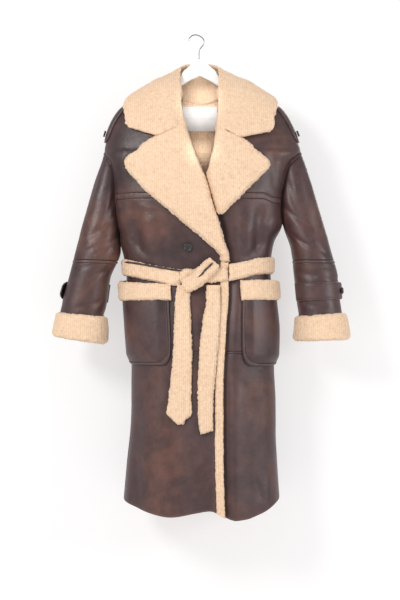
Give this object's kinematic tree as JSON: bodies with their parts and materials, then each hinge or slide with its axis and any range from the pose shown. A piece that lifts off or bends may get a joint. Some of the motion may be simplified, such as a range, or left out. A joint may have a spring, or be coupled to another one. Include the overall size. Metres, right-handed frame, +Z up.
{
  "type": "shearling coat on a hanger",
  "caption": "Long belted shearling coat with wide fleece collar, turned fleece cuffs and patch pockets, hanging closed on a plain hanger.",
  "frame": {"origin": "inside top of the hanger's hook, where it bears on the nail or rail", "axes": "+Z up, the coat's front towards -Y, the wearer's right towards -X"},
  "size_m": [0.7812, 0.2283, 1.2692],
  "materials": {
    "leather": "dark brown suede-like leather, soft sheen",
    "fleece": "curly cream fleece",
    "button_horn": "dark horn",
    "label_cloth": "plain white cloth",
    "hanger_paint": "white satin paint",
    "hook_wire": "bright steel wire"
  },
  "bodies": {
    "root": {"back": "leather", "belt_back": "fleece", "belt_knot_over": "fleece", "belt_knot_under": "fleece", "belt_run_left": "fleece", "belt_run_right": "fleece", "belt_tail_left": "fleece", "belt_tail_right": "fleece", "collar": "fleece", "collar_stand": "fleece", "cuff_button_left": "button_horn", "cuff_button_right": "button_horn", "cuff_left": "fleece", "cuff_right": "fleece", "cuff_strap_left": "leather", "cuff_strap_right": "leather", "epaulette_button_left": "button_horn", "epaulette_button_right": "button_horn", "epaulette_left": "leather", "epaulette_right": "leather", "front_button": "button_horn", "front_edge_band": "fleece", "front_left": "leather", "front_right": "leather", "hanger_hook": "hook_wire", "hanger_wood": "hanger_paint", "lapel_left": "fleece", "lapel_right": "fleece", "neck_label": "label_cloth", "pocket_band_left": "fleece", "pocket_band_right": "fleece", "pocket_left": "leather", "pocket_right": "leather", "sleeve_lower_left": "leather", "sleeve_lower_right": "leather", "sleeve_upper_left": "leather", "sleeve_upper_right": "leather"}
  },
  "joints": []
}
